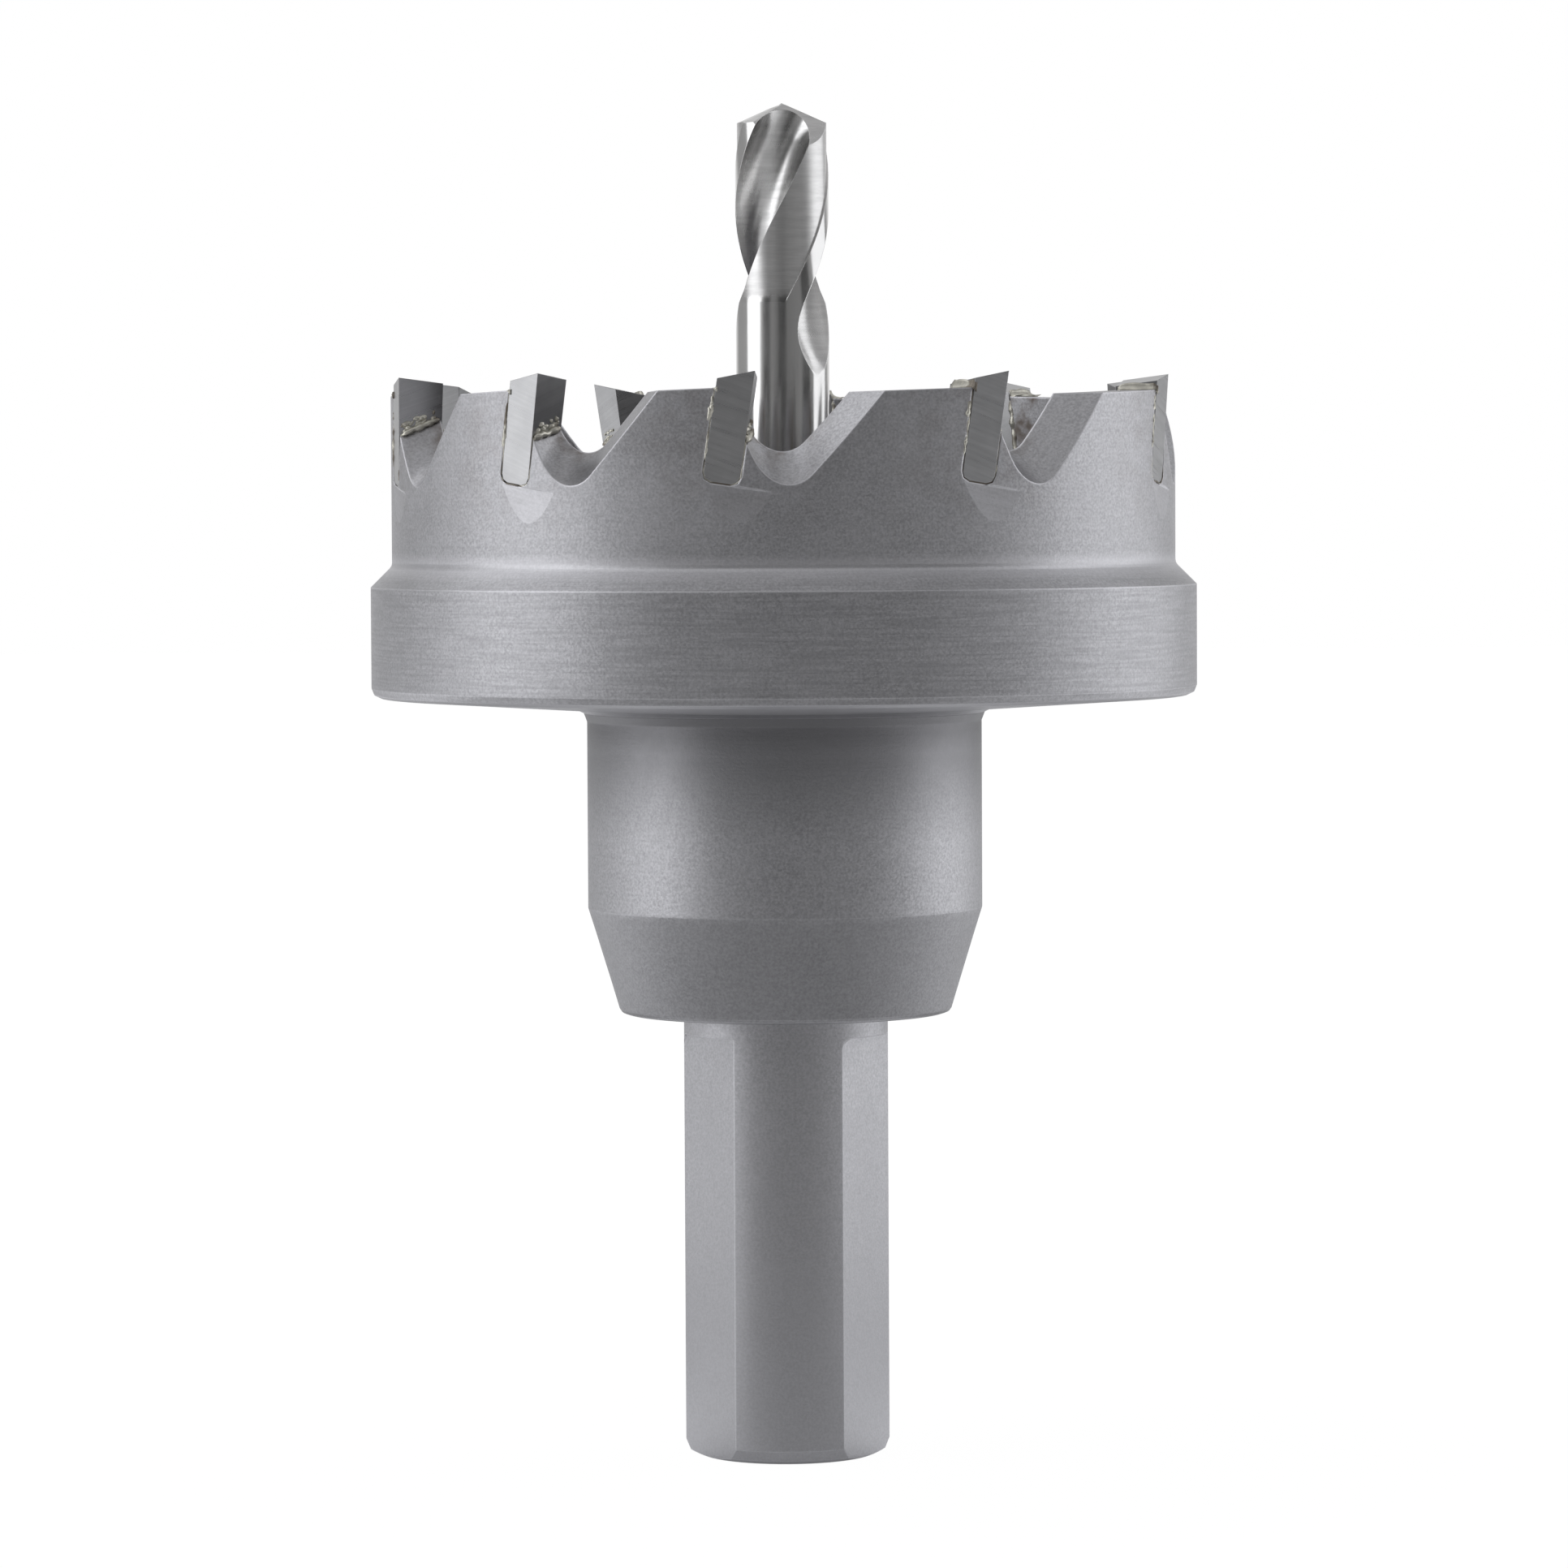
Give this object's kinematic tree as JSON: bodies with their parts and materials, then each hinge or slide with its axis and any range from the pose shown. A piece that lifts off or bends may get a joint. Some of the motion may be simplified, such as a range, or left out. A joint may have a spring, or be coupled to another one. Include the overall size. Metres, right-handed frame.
{
  "type": "hole saw",
  "caption": "Carbide-tipped hole saw: short toothed cup with a collar, stepped hub, fluted pilot drill and a round shank with flats.",
  "frame": {"origin": "centre of the shank's end face", "axes": "+Z along the axis towards the pilot drill's tip, -Y towards the side that the picture shows, +X to the right in that view"},
  "size_m": [0.0524, 0.0524, 0.0859],
  "materials": {
    "body_steel": "matte, bead-blasted over fine turning lines",
    "drill_steel": "polished flutes and lands",
    "carbide": "ground, satin",
    "braze": "silvery, slightly yellow filler metal",
    "screw_steel": "blackened"
  },
  "bodies": {
    "root": {"saw_body": "body_steel", "pilot_drill": "drill_steel", "set_screw": "screw_steel", "carbide_tip_1": "carbide", "carbide_tip_2": "carbide", "carbide_tip_3": "carbide", "carbide_tip_4": "carbide", "carbide_tip_5": "carbide", "carbide_tip_6": "carbide", "carbide_tip_7": "carbide", "carbide_tip_8": "carbide", "carbide_tip_9": "carbide", "carbide_tip_10": "carbide", "braze_seam_1": "braze", "braze_seam_2": "braze", "braze_seam_3": "braze", "braze_seam_4": "braze", "braze_seam_5": "braze", "braze_seam_6": "braze", "braze_seam_7": "braze", "braze_seam_8": "braze", "braze_seam_9": "braze", "braze_seam_10": "braze"}
  },
  "joints": []
}
